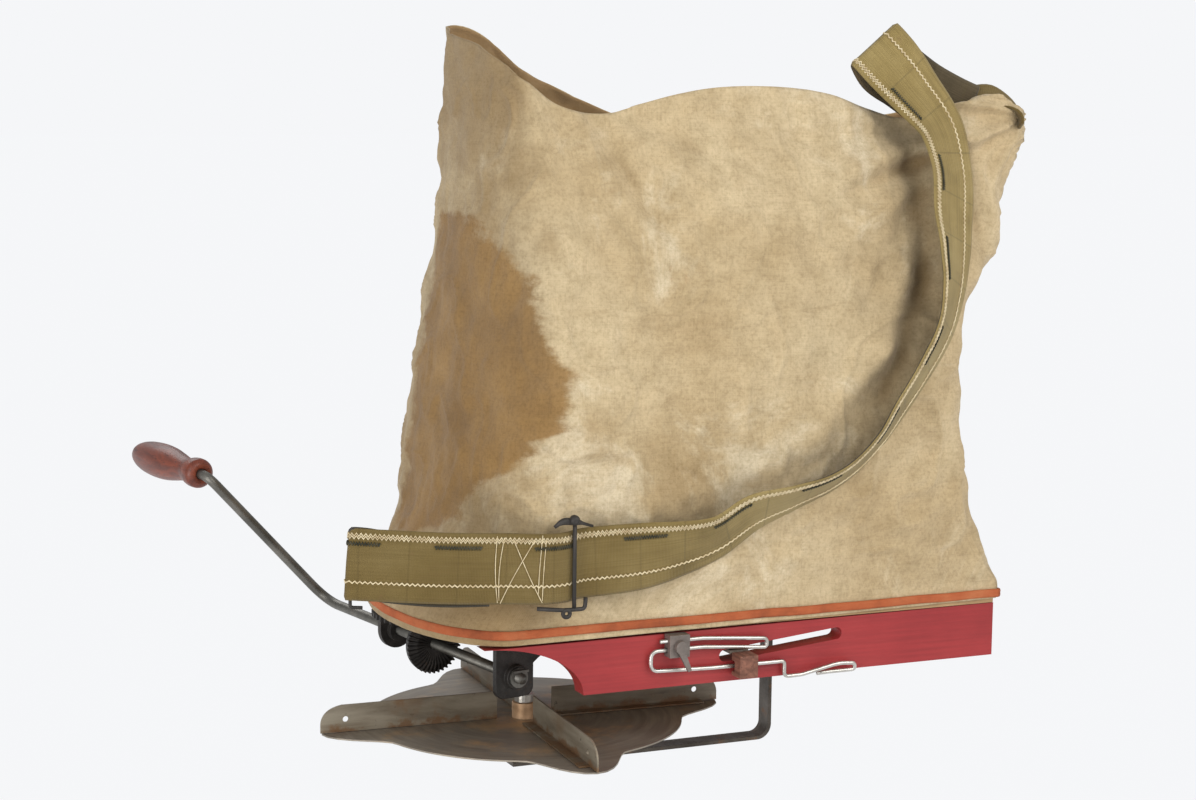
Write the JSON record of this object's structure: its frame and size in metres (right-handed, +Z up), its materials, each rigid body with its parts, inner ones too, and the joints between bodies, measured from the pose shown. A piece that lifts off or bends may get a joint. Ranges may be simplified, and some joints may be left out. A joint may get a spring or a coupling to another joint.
{
  "type": "broadcast seed sower",
  "caption": "Shoulder-carried seed sower: open canvas bag on a board, feed gate below, and a crank geared to a flat spinning distributor with upright vanes.",
  "frame": {"origin": "top of the shoulder strap's loop, where the carrier's shoulder holds the sower up", "axes": "+X from the board's rounded nose to its square end, -Y towards the side with the feed gate and gauge wire, +Z up"},
  "size_m": [0.593, 0.5203, 0.5637],
  "materials": {
    "canvas": "woven cotton duck, creased and soiled",
    "tape": "woven binding tape",
    "webbing": "woven webbing with a pale stitched stripe",
    "red_paint": "brushed red paint on wood, worn",
    "board_wood": "bare planed board",
    "iron": "black, dull",
    "steel": "aged bright steel",
    "sheet": "darkened rolled sheet",
    "hub_bronze": "turned, dull",
    "grip_wood": "stained and varnished",
    "block_wood": "dark, worn",
    "zinc": "galvanised, dull"
  },
  "bodies": {
    "frame": {"base_board": "board_wood", "near_rail": "red_paint", "far_rail": "red_paint", "binding_tape": "tape", "canvas_bag": "canvas", "shoulder_strap": "webbing", "strap_fold": "webbing", "strap_buckle": "iron", "strap_end_bar": "iron", "gear_frame": "iron", "gear_stud": "steel", "hanger_bar": "iron", "step_bearing": "iron", "feed_plate": "zinc", "near_gate_guide": "zinc", "far_gate_guide": "zinc", "gauge_clamp": "zinc", "frame_screw_a": "steel", "frame_screw_b": "steel", "hanger_screw_a": "steel", "hanger_screw_b": "steel", "near_bracket_screw_a": "steel", "near_bracket_screw_b": "steel", "far_bracket_screw_a": "steel", "far_bracket_screw_b": "steel", "near_crank_bracket": "iron", "far_crank_bracket": "iron"},
    "crank": {"crank_rod": "steel", "crank_gear": "iron", "crank_washer": "steel", "crank_cotter": "steel", "grip_washer": "steel"},
    "grip": {"crank_grip": "grip_wood"},
    "cluster": {"cluster_gear": "iron"},
    "spinner": {"spindle": "steel", "spindle_pinion": "iron", "spindle_collar": "steel", "distributor_hub": "hub_bronze", "hub_nut": "steel", "distributor_plate": "sheet", "vane_a": "sheet", "vane_b": "sheet", "vane_c": "sheet", "vane_d": "sheet", "agitator": "steel"},
    "gate": {"feed_gate": "sheet", "gate_block": "block_wood"},
    "gauge": {"gauge_wire": "steel"},
    "thumb": {"thumb_screw": "zinc"}
  },
  "joints": [
    {"name": "spinner_turn", "type": "hinge", "parent": "frame", "child": "spinner", "pos_m": [-0.2504, 0.069, -0.5072], "axis": [0, 0, 1], "continuous": true},
    {"name": "crank_turn", "type": "hinge", "parent": "frame", "child": "crank", "pos_m": [-0.30325, 0.11336, -0.4617], "axis": [-0.1736, 0.9848, 0], "continuous": true},
    {"name": "cluster_turn", "type": "hinge", "parent": "frame", "child": "cluster", "pos_m": [-0.30325, 0.11336, -0.4372], "axis": [0, 0, 1], "continuous": true},
    {"name": "grip_turn", "type": "hinge", "parent": "crank", "child": "grip", "pos_m": [-0.45155, 0.34107, -0.3482], "axis": [-0.1736, 0.9848, 0], "continuous": true},
    {"name": "gate_slide", "type": "slide", "parent": "frame", "child": "gate", "axis": [1, 0, 0], "range_m": [0, 0.018]},
    {"name": "gauge_shift", "type": "slide", "parent": "frame", "child": "gauge", "axis": [1, 0, 0], "range_m": [-0.003, 0.006]},
    {"name": "thumb_turn", "type": "hinge", "parent": "frame", "child": "thumb", "pos_m": [-0.181, -0.058, -0.4347], "axis": [0, -1, 0], "range_deg": [-90, 90]}
  ],
  "couplings": [
    {"joint": "crank_turn", "follows": "spinner_turn", "ratio": 0.12667},
    {"joint": "cluster_turn", "follows": "spinner_turn", "ratio": -0.38}
  ]
}
